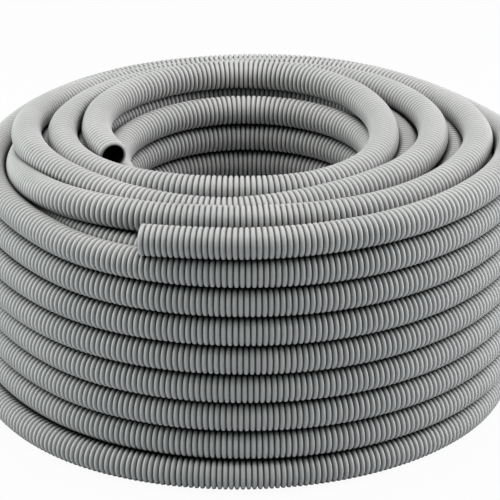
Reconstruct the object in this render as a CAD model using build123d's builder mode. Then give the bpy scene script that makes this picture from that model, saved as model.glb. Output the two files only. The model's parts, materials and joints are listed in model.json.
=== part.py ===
from build123d import *
from math import sqrt
import os

# A coil of corrugated conduit that stands flat, in millimetres. The origin is the centre of the coil's
# foot, +Z is up along its hole and -Y is the front, where the outer end lies.

# The conduit
conduit_od = 25.0
conduit_bore = 18.8

# The winding: rows of turns one above another, and layers from the outside in
rows = 9
bedding = 0.4
outer_turn_radius = 222.0
layer_nested = [False, False, True, False, True, False]

# The loose turns on top, a spiral that sinks into the second layer: how far they lie outside the hole's
# turns at each half turn, from the inner end outwards, as shares of the conduit's width
half_turn_shares = [0.5, 0.2, 1.7, 1.85, 2.9, 3.35]
inner_turn_angle = 192.0
loose_run_angle = 150.0

# The last turn, which climbs out of the outermost layer and ends at the front
climb_angle = 30.0
outer_run_angle = 256.5

# How far round a turn takes to change rows, how steep it is and how deep it lies where it meets the
# lower row
row_change_angle = 45.0
slope_share = 0.25
lap = 5.0
end_run = 30.0

turn_radius = conduit_od / 2
row_pitch = conduit_od - bedding
nested_pitch = row_pitch * sqrt(3) / 2
body_rows = rows - 1
foot_height = turn_radius
body_height = foot_height + (body_rows - 1) * row_pitch
top_height = body_height + row_pitch


def layer_places():
    """Radius and lift of each layer's turns: a nested layer lies half a row higher, in the valleys."""
    places = []
    radius = outer_turn_radius
    for nested, before in zip(layer_nested, [None] + layer_nested):
        if before is not None:
            side_by_side = nested == before
            radius -= row_pitch if side_by_side else nested_pitch
        places.append((radius, row_pitch / 2 if nested else 0))
    return places


def section_turns():
    """Centres of the turns that show, once round the winding's section: outside, top, hole, foot."""
    layers = layer_places()
    between = layers[1:-1]
    outer_radius, _ = layers[0]
    hole_radius, _ = layers[-1]
    levels = [foot_height + row * row_pitch for row in range(body_rows)]
    outside = [(outer_radius, level) for level in levels]
    top = [(radius, body_height - lift) for radius, lift in between]
    hole = [(hole_radius, level) for level in reversed(levels)]
    foot = [(radius, foot_height + lift) for radius, lift in reversed(between)]
    return [Vector(radius, height) for radius, height in outside + top + hole + foot]


def outward(start, end):
    """Direction square to the step between two turns, pointing out of the winding."""
    step = (end - start).normalized()
    return Vector(step.Y, -step.X)


def groove(start, end):
    """Where the surfaces of two neighbouring turns meet, on the outside of the winding."""
    half_step = (end - start).length / 2
    rise = sqrt(turn_radius**2 - half_step**2)
    return (start + end) / 2 + outward(start, end) * rise


def on_turn(radius, angle, height):
    """A place on a turn, by its angle round the coil."""
    return Vector(radius, 0, height).rotate(Axis.Z, angle)


def along_turn(angle):
    """The direction in which the conduit is wound, clockwise, at an angle round the coil."""
    return Vector(0, -1).rotate(Axis.Z, angle)


# Turned body of the winding, with a rounded ridge for each turn that shows
with BuildPart() as conduit:
    with BuildSketch(Plane.XZ) as section:
        turns = section_turns()
        with BuildLine():
            for index, turn in enumerate(turns):
                before = turns[index - 1]
                after = turns[(index + 1) % len(turns)]
                facing = (outward(before, turn) + outward(turn, after)).normalized()
                ThreePointArc(groove(before, turn), turn + facing * turn_radius, groove(turn, after))
        make_face()
    revolve(axis=Axis.Z)

    # Loose turns, from the inner end's straight stretch to where they sink into the second layer
    _, (second_layer_radius, _), *_, (hole_turn_radius, _) = layer_places()
    half_turn_radii = [hole_turn_radius + share * conduit_od for share in half_turn_shares]
    heading = along_turn(inner_turn_angle)
    place = on_turn(half_turn_radii[0], inner_turn_angle, top_height)
    up = Vector(0, 0, 1)
    half_turn = 180.0
    angle = inner_turn_angle
    with BuildLine() as loose_turns:
        Line(place - heading * end_run, place)
        for before, after in zip(half_turn_radii, half_turn_radii[1:]):
            turn = JernArc(place, heading, (before + after) / 2, -half_turn)
            place = turn @ 1
            heading = -heading
            angle -= half_turn
        turn = JernArc(place, heading, after, -loose_run_angle)
        sunk_angle = angle - loose_run_angle - row_change_angle
        sunk = on_turn(second_layer_radius, sunk_angle, body_height - lap)
        Spline(turn @ 1, sunk, tangents=[turn % 1, along_turn(sunk_angle) - up * slope_share])

    # Last turn, from the outermost layer's top row to the outer end's straight stretch
    with BuildLine() as last_turn:
        climbed_angle = climb_angle - row_change_angle
        low = on_turn(outer_turn_radius - lap / 2, climb_angle, body_height - lap)
        high = on_turn(outer_turn_radius, climbed_angle, top_height)
        Spline(low, high, tangents=[along_turn(climb_angle) + up * slope_share, along_turn(climbed_angle)])
        front_run = climbed_angle + 2 * half_turn - outer_run_angle
        turn = JernArc(high, along_turn(climbed_angle), outer_turn_radius, -front_run)
        Line(turn @ 1, turn @ 1 + (turn % 1) * end_run)

    inner_end = Plane(origin=loose_turns.line @ 0, z_dir=-(loose_turns.line % 0))
    outer_end = Plane(origin=last_turn.line @ 1, z_dir=last_turn.line % 1)
    for stretch in loose_turns.line.edges() + last_turn.line.edges():
        with BuildSketch(Plane(origin=stretch @ 0, z_dir=stretch % 0)):
            Circle(turn_radius)
        sweep(path=stretch)

    # Bore, open at both ends
    for end in (inner_end, outer_end):
        with BuildSketch(end):
            Circle(conduit_bore / 2)
        extrude(amount=-end_run, mode=Mode.SUBTRACT)

conduit.part.label = "conduit"
os.makedirs("parts", exist_ok=True)
export_step(conduit.part, "parts/conduit.step")
for name, end in (("inner", inner_end), ("outer", outer_end)):
    print(name, "end", end.origin, "facing", end.z_dir)
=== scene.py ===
import bpy
import json
import math
import numpy as np
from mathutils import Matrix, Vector


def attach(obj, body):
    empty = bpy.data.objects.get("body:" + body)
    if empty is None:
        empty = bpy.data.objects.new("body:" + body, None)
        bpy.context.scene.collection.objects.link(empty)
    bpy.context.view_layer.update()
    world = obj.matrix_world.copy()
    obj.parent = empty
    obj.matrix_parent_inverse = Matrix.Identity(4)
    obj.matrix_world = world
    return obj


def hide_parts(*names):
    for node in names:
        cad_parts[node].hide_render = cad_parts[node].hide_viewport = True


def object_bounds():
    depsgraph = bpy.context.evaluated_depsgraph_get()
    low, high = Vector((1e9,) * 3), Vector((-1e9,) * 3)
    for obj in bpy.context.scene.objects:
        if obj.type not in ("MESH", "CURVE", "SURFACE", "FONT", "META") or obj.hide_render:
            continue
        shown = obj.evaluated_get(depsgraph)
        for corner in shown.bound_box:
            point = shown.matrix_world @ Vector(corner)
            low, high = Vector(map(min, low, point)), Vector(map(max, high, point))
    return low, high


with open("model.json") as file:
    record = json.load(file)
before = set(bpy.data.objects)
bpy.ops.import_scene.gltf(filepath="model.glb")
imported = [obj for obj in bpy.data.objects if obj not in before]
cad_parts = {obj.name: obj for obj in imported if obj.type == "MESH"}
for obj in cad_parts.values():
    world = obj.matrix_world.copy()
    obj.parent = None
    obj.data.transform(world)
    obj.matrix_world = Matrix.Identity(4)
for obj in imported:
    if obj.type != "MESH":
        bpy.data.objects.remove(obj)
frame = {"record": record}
cad_low, cad_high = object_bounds()

# Sizes in metres; the tables of the winding's places are in millimetres
MM = 0.001
OD = 25 * MM
RADIUS = OD / 2
BORE_RADIUS = frame["record"]["mounts"][0]["dims"]["r_mm"] * MM
ROW_PITCH = 24.6 * MM
OUTER_RADIUS = cad_high.x - RADIUS

# Camera, as the rows of the coil in the photograph give it
IMAGE = 500
SENSOR = 36
FOCAL_PIXELS = 2659
AXIS_X = 245.36
DISTANCE = 2.249
ELEVATION = math.radians(24.67)
AIM_HEIGHT = 0.1009
CLIP_END = 20

camera_data = bpy.data.cameras.new("camera")
camera_data.sensor_width = SENSOR
camera_data.lens = FOCAL_PIXELS / IMAGE * SENSOR
camera_data.clip_end = CLIP_END
camera = bpy.data.objects.new("camera", camera_data)
bpy.context.scene.collection.objects.link(camera)
aim = Vector(((IMAGE / 2 - AXIS_X) / FOCAL_PIXELS * DISTANCE, 0, AIM_HEIGHT))
camera.location = aim + DISTANCE * Vector((0, -math.cos(ELEVATION), math.sin(ELEVATION)))
camera.rotation_euler = (math.pi / 2 - ELEVATION, 0, 0)
bpy.context.scene.camera = camera


# The winding's line. Travel is the angle wound so far in degrees, clockwise seen from above: a whole
# number of turns is on the left, and then come the back, the right and the front.
TURN = 360
RIGHT = 180
FRONT = 270
STEP = 15
CROSSING = 55


def level(row):
    """Height in millimetres of the turns in one row, counted from the floor."""
    return (RADIUS + (row - 1) * ROW_PITCH) / MM


TOP = level(9)
EIGHTH = level(8)

# The loose top layer from the open inner end outwards: travel, radius, height
LOOSE_TURNS = [
    (-25.5, 117.8, TOP - 1), (-12, 121, TOP), (5, 124, TOP), (20, 128.5, TOP), (45, 130, TOP),
    (90, 132.5, TOP), (135, 124, TOP), (160, 116, TOP), (180, 114.3, TOP), (225, 124, TOP),
    (250, 127.5, TOP), (270, 124.5, TOP), (290, 130.5, TOP), (310, 137, TOP - 1.5), (322, 141.5, TOP - 3),
    (335, 146, TOP - 3.5), (348, 150, TOP - 3), (360, 152.5, TOP - 1), (375, 149.5, TOP - 1.5),
    (390, 150, TOP - 3.5), (405, 150, TOP - 5), (450, 148, TOP - 8), (490, 151, TOP - 3),
    (515, 152.5, TOP), (535, 156.3, TOP), (550, 155, TOP), (570, 153.5, TOP), (597, 151.5, TOP),
    (620, 158, TOP - 1), (637, 164, TOP - 2.5), (655, 166.5, TOP - 1), (680, 170, TOP), (700, 176, TOP),
    (718, 181.5, TOP), (730, 182.5, TOP - 2), (745, 180, TOP - 7), (765, 178, TOP - 12),
    (810, 174.5, TOP - 14), (830, 178.5, TOP - 12.5), (850, 182.5, TOP - 10.5), (862, 185, TOP - 9.5),
    (870, 185.5, TOP - 8), (877, 185.5, TOP - 5), (883, 185.5, TOP - 2.5), (889, 187, TOP - 0.5),
    (895, 190.5, TOP), (900, 192.7, TOP), (908, 193, TOP), (916, 192, TOP), (930, 190.5, TOP),
    (960, 187, TOP), (988, 182, TOP), (1010, 188, TOP), (1028, 195, TOP - 1), (1045, 195, TOP - 6),
    (1058, 190.5, TOP - 13), (1072, 186, TOP - 20), (1090, 183.5, EIGHTH), (1110, 184, EIGHTH),
    (1140, 186.5, EIGHTH), (1170, 188, EIGHTH), (1200, 190, EIGHTH), (1230, 189.5, EIGHTH),
    (1260, 195, EIGHTH), (1290, 197.6, EIGHTH),
]

# The last stretch, from the left of the outermost layer's eighth row to the cut end; its travel is
# counted from there
LAST_TURN = [
    (-15, 211.5, EIGHTH), (0, 211, EIGHTH), (10, 208.5, EIGHTH), (20, 207.2, EIGHTH), (45, 208.5, EIGHTH),
    (65, 211, EIGHTH), (80, 211, EIGHTH), (90, 212.5, EIGHTH), (103, 216.5, EIGHTH), (115, 216.5, EIGHTH),
    (130, 215, EIGHTH), (145, 212.5, EIGHTH + 0.5), (158, 211.5, EIGHTH + 4.5), (170, 213, EIGHTH + 11),
    (185, 218, EIGHTH + 19.5), (200, 222, TOP), (240, 222, TOP), (255, 222.2, TOP), (270, 223, TOP - 0.8),
    (280, 224, TOP - 1.5), (290.4, 225, TOP - 2),
]

# Radii of the layers under the outermost one, in millimetres: the third and the fifth lie half a row
# higher than the others
SECOND, THIRD, FOURTH, FIFTH, HOLE = 197.6, 175.7, 153.8, 131.9, 110

# The two turns that close the middle layers on top: radius, height
MIDDLE_TOP = [(142, EIGHTH + 2.3), (174, EIGHTH + 6.8)]

# Radii of the turns on the floor, from the hole outwards, and of the outer layer's lowest turn at its start
FOOT_RADII = (142, 172, 202)
LOWEST_RADIUS = 211

# How that turn bulges on the right, at the front and on the left: travel from its start, radius
LOWEST_BULGE = [(28, 223.5), (75, 226), (115, 230.5), (160, 221)]

# The turns between the loose layer and the last stretch, each as the travel at which it starts, its
# radius and its height
wound_turns = [(1055, SECOND, EIGHTH)]


def wind(places, crossing=None):
    """Adds whole turns one after another; crossing is the side, as travel, on which they cross over."""
    start = wound_turns[-1][0] + TURN
    if crossing is not None:
        start -= (start - crossing) % TURN
    for index, (radius, height) in enumerate(places):
        wound_turns.append((start + index * TURN, radius, height))


middle_layers = []
for row in range(2, 7):
    middle_layers += [(FOURTH, level(row)), (THIRD, level(row + 0.5)), (FIFTH, level(row + 0.5))]
middle_layers += [(FOURTH, level(7)), *MIDDLE_TOP]
wind([(SECOND, level(row)) for row in range(7, 1, -1)])
MIDDLE_TOP_START = wound_turns[-1][0] + TURN * (len(middle_layers) - 1)
wind(middle_layers)
# The second last of them rises on the right, where the loose turns leave room
wound_turns[-1:-1] = [(MIDDLE_TOP_START + 165, 134, EIGHTH + 8.4), (MIDDLE_TOP_START + 250, *MIDDLE_TOP[0])]
# The last one dips at the back, where a loose turn has sunk in above it
last_middle, last_radius, last_height = wound_turns[-1]
wound_turns += [(last_middle + 50, last_radius, level(7.5) + 1), (last_middle + 165, last_radius, last_height)]
wind([(HOLE, level(row)) for row in range(8, 0, -1)], crossing=FRONT)
HOLE_START = wound_turns[-8][0]
wind([(radius, level(1)) for radius in FOOT_RADII], crossing=RIGHT + 5)
FOOT_START = wound_turns[-len(FOOT_RADII)][0]
wind([(LOWEST_RADIUS, level(1))], crossing=RIGHT - 12)
OUTER_START = wound_turns[-1][0]
wound_turns += [(OUTER_START + travel, radius, level(1)) for travel, radius in LOWEST_BULGE]
wound_turns += [(OUTER_START + TURN * index, OUTER_RADIUS / MM, level(index + 1)) for index in range(1, 8)]
LAST_START = wound_turns[-1][0] + (-wound_turns[-1][0]) % TURN

# How much the rows, from the first to the eighth, are pressed in on the coil's left. The press sets in
# 30 degrees to the left of the front, and is let out again behind. The outer layers take all of it, and
# the layers inwards less and less
LEFT_PRESS = [0, 5, 5.5, 6.5, 4, 5, 9, 11]
PRESS_START, PRESS_FULL, PRESS_LESS, PRESS_END = -60, -30, 30, 90
PRESS_NO_RADIUS, PRESS_FULL_RADIUS = 90, 175


def smooth(u):
    """A step from 0 to 1 that starts and ends gently."""
    return u * u * (3 - 2 * u)


def on_table(at, table):
    """Radius and height at each travel, on a smooth curve through a table's places."""
    travel, *columns = np.array(table).T
    index = np.clip(np.searchsorted(travel, at) - 1, 0, len(travel) - 2)
    width = travel[index + 1] - travel[index]
    u = (at - travel[index]) / width
    found = []
    for value in columns:
        slope = np.gradient(value, travel)
        found.append((2 * u**3 - 3 * u**2 + 1) * value[index] + (u**3 - 2 * u**2 + u) * width * slope[index]
                     + (3 * u**2 - 2 * u**3) * value[index + 1] + (u**3 - u**2) * width * slope[index + 1])
    return np.stack(found, axis=1)


def in_turns(at):
    """Radius and height at each travel, level turns that cross over to the next on one side."""
    places = np.array(wound_turns)
    value = np.repeat(places[:1, 1:], len(at), axis=0)
    for before, after in zip(places, places[1:]):
        crossed = smooth(np.clip((at - after[0]) / CROSSING + 0.5, 0, 1))
        value += crossed[:, None] * (after - before)[1:]
    side = (at - PRESS_START) % TURN + PRESS_START
    pressed_in = (side - PRESS_START) / (PRESS_FULL - PRESS_START)
    let_out = (PRESS_END - side) / (PRESS_END - PRESS_LESS)
    share = smooth(np.clip(np.minimum(pressed_in, let_out), 0, 1))
    rows = [level(row) for row in range(1, len(LEFT_PRESS) + 1)]
    outward = (value[:, 0] - PRESS_NO_RADIUS) / (PRESS_FULL_RADIUS - PRESS_NO_RADIUS)
    value[:, 0] -= share * np.interp(value[:, 1], rows, LEFT_PRESS) * np.clip(outward, 0, 1)
    return value


def winding_points():
    """Control points of the whole conduit, from the inner end to the outer one."""
    end = LAST_START + LAST_TURN[-1][0]
    at = np.append(np.arange(LOOSE_TURNS[0][0], end - STEP / 2, STEP), end)
    value = in_turns(at)
    loose = at <= LOOSE_TURNS[-1][0]
    last = at >= LAST_START
    value[loose] = on_table(at[loose], LOOSE_TURNS)
    value[last] = on_table(at[last] - LAST_START, LAST_TURN)
    radius, height = value.T * MM
    # A spline's turns lie inside its control points by this share
    radius = radius / (0.75 + 0.25 * math.cos(math.radians(STEP)))
    turned = np.radians(at)
    return np.stack([-radius * np.cos(turned), radius * np.sin(turned), height], axis=1)


def spline_line(points, resolution):
    """Points along the smooth spline that has the given control points."""
    data = bpy.data.curves.new("route", "CURVE")
    data.dimensions = "3D"
    data.resolution_u = resolution
    spline = data.splines.new("NURBS")
    spline.points.add(len(points) - 1)
    for point, place in zip(spline.points, points):
        point.co = (*place, 1)
    spline.order_u = 3
    spline.use_endpoint_u = True
    holder = bpy.data.objects.new("route", data)
    mesh = bpy.data.meshes.new_from_object(holder)
    line = np.empty(len(mesh.vertices) * 3)
    mesh.vertices.foreach_get("co", line)
    bpy.data.objects.remove(holder)
    bpy.data.curves.remove(data)
    bpy.data.meshes.remove(mesh)
    return line.reshape(-1, 3)


line = spline_line(winding_points(), 8)
chords = np.linalg.norm(np.diff(line, axis=0), axis=1)
along = np.concatenate([[0], np.cumsum(chords)])
travel = np.degrees(np.unwrap(np.arctan2(line[:, 1], -line[:, 0])))
heading = np.gradient(line, along, axis=0)
heading /= np.linalg.norm(heading, axis=1)[:, None]
print("conduit length", along[-1], "m, turns", (travel[-1] - travel[0]) / TURN)


# Ribs, as a corrugator forms them: a wide, nearly flat crest and a narrow groove. The profile starts in
# the groove: share of the rib's width, depth below the crest
RIB = 4.42 * MM
GROOVE_DEPTH = 2.6 * MM
RIB_PROFILE = [(0.0, GROOVE_DEPTH), (0.22, 0.4 * MM), (0.5, 0.0), (0.78, 0.4 * MM)]
rib_count = int(along[-1] / RIB)
RIB_STEP = along[-1] / rib_count


def place_on_line(at):
    """Places and headings at distances along the conduit."""
    places = np.stack([np.interp(at, along, line[:, axis]) for axis in range(3)], axis=1)
    ahead = np.stack([np.interp(at, along, heading[:, axis]) for axis in range(3)], axis=1)
    return places, ahead / np.linalg.norm(ahead, axis=1)[:, None]


def tube(name, rings, segments):
    """A closed round tube through rings, each given as distance along the conduit and radius.

    Faces as narrow as the bore have the second material. The attribute groove is 1 at a groove's bottom.
    """
    at, radius = np.array(rings).T
    centre, ahead = place_on_line(at)
    side = np.cross(ahead, (0, 0, 1))
    side /= np.linalg.norm(side, axis=1)[:, None]
    rise = np.cross(side, ahead)
    angle = np.arange(segments) * 2 * math.pi / segments
    ring = side[:, None] * np.cos(angle)[None, :, None] + rise[:, None] * np.sin(angle)[None, :, None]
    points = centre[:, None] + ring * radius[:, None, None]
    count = len(rings)
    first = np.arange(count - 1)[:, None] * segments + np.arange(segments)[None]
    second = np.arange(count - 1)[:, None] * segments + (np.arange(segments) + 1)[None] % segments
    quads = np.stack([first, second, second + segments, first + segments], axis=2).reshape(-1, 4)
    caps = [np.arange(segments)[::-1], np.arange(segments) + (count - 1) * segments]
    loops = np.concatenate([quads.ravel(), *caps])
    starts = np.append(np.arange(len(quads)) * 4, [len(quads) * 4, len(quads) * 4 + segments])
    narrow = radius <= BORE_RADIUS
    in_bore = np.append(np.repeat(narrow[1:] & narrow[:-1], segments), [narrow[0], narrow[-1]])
    mesh = bpy.data.meshes.new(name)
    mesh.vertices.add(count * segments)
    mesh.vertices.foreach_set("co", points.ravel())
    mesh.loops.add(len(loops))
    mesh.loops.foreach_set("vertex_index", loops)
    mesh.polygons.add(len(starts))
    mesh.polygons.foreach_set("loop_start", starts)
    mesh.polygons.foreach_set("use_smooth", np.arange(len(starts)) < len(quads))
    mesh.polygons.foreach_set("material_index", in_bore.astype(np.int32))
    mesh.update(calc_edges=True)
    mesh.validate()
    # The material darkens the colour by the groove attribute, as painted shade in the grooves
    groove = mesh.attributes.new("groove", "FLOAT", "POINT")
    groove.data.foreach_set("value", np.repeat(np.clip((RADIUS - radius) / GROOVE_DEPTH, 0, 1), segments))
    piece = bpy.data.objects.new(name, mesh)
    bpy.context.scene.collection.objects.link(piece)
    return piece


def rib_at(where):
    """The number of the rib nearest to a travel."""
    return int(round(np.interp(where, travel, along) / RIB_STEP))


def ribbed(start, end):
    """Rings of the ribs from one number up to another, from groove to groove."""
    rings = [((rib + share) * RIB_STEP, RADIUS - depth)
             for rib in range(start, end) for share, depth in RIB_PROFILE]
    return rings + [(end * RIB_STEP, RADIUS - GROOVE_DEPTH)]


# Each end is cut through a groove, where the wall is thin
BORE_DEPTH = 120 * MM
BORE_RINGS = 24
WALL = 1.3 * MM
CUT = 0.3 * MM
bore = [(at, BORE_RADIUS) for at in np.linspace(BORE_DEPTH, 0, BORE_RINGS)]
inner_mouth = bore + [(0, BORE_RADIUS + WALL), (CUT, BORE_RADIUS + WALL)]
outer_mouth = [(along[-1] - at, radius) for at, radius in reversed(inner_mouth)]

# The conduit's pieces, one after another: name, travel at which it starts and ends, segments round it
PIECES = [
    ("loose_turns", LOOSE_TURNS[0][0], 1140, 24),
    ("second_layer_top_turn", 1140, 1475, 18),
    ("inner_turns", 1475, MIDDLE_TOP_START - TURN - 20, 10),
    ("middle_top_turns", MIDDLE_TOP_START - TURN - 20, HOLE_START + 10, 18),
    ("hole_turns", HOLE_START + 10, FOOT_START, 18),
    ("foot_turns", FOOT_START, OUTER_START, 12),
    ("outer_turns_low", OUTER_START, OUTER_START + 3 * TURN, 20),
    ("outer_turns_middle", OUTER_START + 3 * TURN, OUTER_START + 6 * TURN, 20),
    ("outer_turns_high", OUTER_START + 6 * TURN, travel[-1], 20),
]
# The inner turns are hidden in the winding, and are plain
PLAIN = "inner_turns"
PLAIN_RING = 16 * MM
PLAIN_RADIUS = RADIUS - 1 * MM
pieces = []
for number, (name, start, end, segments) in enumerate(PIECES):
    begin, finish = rib_at(start), rib_at(end)
    last = number == len(PIECES) - 1
    if name == PLAIN:
        steps = int((finish - begin) * RIB_STEP / PLAIN_RING)
        rings = [(at, PLAIN_RADIUS) for at in np.linspace(begin, finish, steps) * RIB_STEP]
    else:
        rings = ribbed(begin, finish)
    if number == 0:
        rings = inner_mouth + rings[1:]
    if last:
        rings = rings[:-1] + outer_mouth
    piece = tube(name, rings, segments)
    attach(piece, "root")
    pieces.append(piece)
    print(name, "ribs", finish - begin, "triangles", sum(len(p.vertices) - 2 for p in piece.data.polygons))
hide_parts("conduit")


def add_node(tree, kind, sockets=None, **settings):
    """A new node with its settings and its sockets' values."""
    node = tree.nodes.new("ShaderNode" + kind)
    for name, value in settings.items():
        setattr(node, name, value)
    for socket, value in (sockets or {}).items():
        node.inputs[socket].default_value = value
    return node


# The conduit's light grey plastic, a little uneven in colour and gloss
def plastic(name, brightness):
    material = bpy.data.materials.new(name)
    material.use_nodes = True
    tree = material.node_tree
    links = tree.links
    shader = tree.nodes["Principled BSDF"]
    shader.inputs["Specular IOR Level"].default_value = 0.35
    place = add_node(tree, "TexCoord")
    cloud = add_node(tree, "TexNoise", {"Scale": 14, "Detail": 4})
    tint = add_node(tree, "ValToRGB")
    darkest, palest = tint.color_ramp.elements
    darkest.position = 0.35
    darkest.color = (0.475, 0.473, 0.468, 1)
    palest.position = 0.65
    palest.color = (0.535, 0.53, 0.522, 1)
    links.new(place.outputs["Object"], cloud.inputs["Vector"])
    links.new(cloud.outputs["Fac"], tint.inputs["Fac"])

    # Painted shade between the turns and in the grooves: ambient occlusion and the groove attribute darken the
    # colour where shade falls
    crevice = add_node(tree, "AmbientOcclusion", {"Distance": 6 * MM})
    shade = add_node(tree, "MapRange", {
        "From Min": 0.2, "From Max": 0.87, "To Min": 0.03 * brightness, "To Max": brightness})
    groove = add_node(tree, "Attribute", attribute_name="groove")
    darker = add_node(tree, "Math", {1: -0.75, 2: 1}, operation="MULTIPLY_ADD")
    both = add_node(tree, "Math", operation="MULTIPLY")
    painted_shade = add_node(tree, "VectorMath", operation="SCALE")
    links.new(crevice.outputs["AO"], shade.inputs["Value"])
    links.new(groove.outputs["Fac"], darker.inputs[0])
    links.new(darker.outputs[0], both.inputs[0])
    links.new(shade.outputs["Result"], both.inputs[1])
    links.new(tint.outputs["Color"], painted_shade.inputs[0])
    links.new(both.outputs[0], painted_shade.inputs["Scale"])
    links.new(painted_shade.outputs["Vector"], shader.inputs["Base Color"])

    # A fine grain, in the gloss and as bump
    grain = add_node(tree, "TexNoise", {"Scale": 900, "Detail": 3})
    gloss = add_node(tree, "MapRange", {"From Min": 0.3, "From Max": 0.7, "To Min": 0.42, "To Max": 0.55})
    bump = add_node(tree, "Bump", {"Strength": 0.25, "Distance": 0.1 * MM})
    links.new(place.outputs["Object"], grain.inputs["Vector"])
    links.new(grain.outputs["Fac"], gloss.inputs["Value"])
    links.new(gloss.outputs["Result"], shader.inputs["Roughness"])
    links.new(grain.outputs["Fac"], bump.inputs["Height"])
    links.new(bump.outputs["Normal"], shader.inputs["Normal"])
    return material


# A darker copy of the same plastic, as painted shade, deep in the bore and on the cap that closes it, where
# little light comes
BORE_SHADE_BRIGHTNESS = 0.06
grey_plastic_material = plastic("grey_plastic", 1)
bore_shade_material = plastic("bore_plastic_painted_shade", BORE_SHADE_BRIGHTNESS)
for piece in pieces:
    piece.data.materials.append(grey_plastic_material)
    if piece in (pieces[0], pieces[-1]):
        piece.data.materials.append(bore_shade_material)


# Floor and light. The camera sees the floor as white, with a little of the coil's shadow, and the coil
# gets a pale paper's light from it
FLOOR_SIZE = 12


def floor_material():
    material = bpy.data.materials.new("floor")
    material.use_nodes = True
    tree = material.node_tree
    links = tree.links
    tree.nodes.clear()
    output = add_node(tree, "OutputMaterial")
    mix = add_node(tree, "MixShader")
    ray = add_node(tree, "LightPath")
    share = add_node(tree, "Math", {1: 0.95}, operation="MULTIPLY")
    paper = add_node(tree, "BsdfDiffuse", {"Color": (0.6, 0.61, 0.63, 1)})
    glow = add_node(tree, "Emission", {"Strength": 1})
    links.new(ray.outputs["Is Camera Ray"], share.inputs[0])
    links.new(share.outputs[0], mix.inputs["Fac"])
    links.new(paper.outputs[0], mix.inputs[1])
    links.new(glow.outputs[0], mix.inputs[2])
    links.new(mix.outputs[0], output.inputs["Surface"])
    return material


bpy.ops.mesh.primitive_plane_add(size=FLOOR_SIZE, location=(0, 0, 0))
floor = bpy.context.object
floor.name = "floor"
floor.data.materials.append(floor_material())

# Soft lights on the middle of the coil: name, place, size, power, colour
MIDDLE_OF_COIL = Vector((0, 0, 0.12))
LIGHTS = [
    ("top_light", (0, 0, 1.7), (1.6, 1.2), 22.8, (1, 0.985, 0.98)),
    ("left_light", (-1.6, 0, 0.8), (1.0, 1.2), 24, (0.965, 1, 0.98)),
    ("right_light", (1.6, 0, 0.8), (1.0, 1.2), 27, (0.985, 0.99, 1)),
]
for name, place, size, power, colour in LIGHTS:
    data = bpy.data.lights.new(name, "AREA")
    data.color = colour
    data.shape = "RECTANGLE"
    data.size, data.size_y = size
    data.energy = power
    lamp = bpy.data.objects.new(name, data)
    bpy.context.scene.collection.objects.link(lamp)
    lamp.location = place
    lamp.rotation_euler = (MIDDLE_OF_COIL - Vector(place)).to_track_quat("-Z", "Y").to_euler()

# White where the camera sees it, and a weak cool fill everywhere else
world = bpy.data.worlds.new("world")
bpy.context.scene.world = world
world.use_nodes = True
tree = world.node_tree
links = tree.links
tree.nodes.clear()
seen = add_node(tree, "Background", {"Color": (1, 1, 1, 1), "Strength": 1})
fill = add_node(tree, "Background", {"Color": (0.84, 1, 1, 1), "Strength": 0.17})
ray = add_node(tree, "LightPath")
mix = add_node(tree, "MixShader")
output = add_node(tree, "OutputWorld")
links.new(ray.outputs["Is Camera Ray"], mix.inputs["Fac"])
links.new(fill.outputs[0], mix.inputs[1])
links.new(seen.outputs[0], mix.inputs[2])
links.new(mix.outputs[0], output.inputs["Surface"])

bpy.context.scene.view_settings.view_transform = "Standard"

bpy.context.view_layer.update()
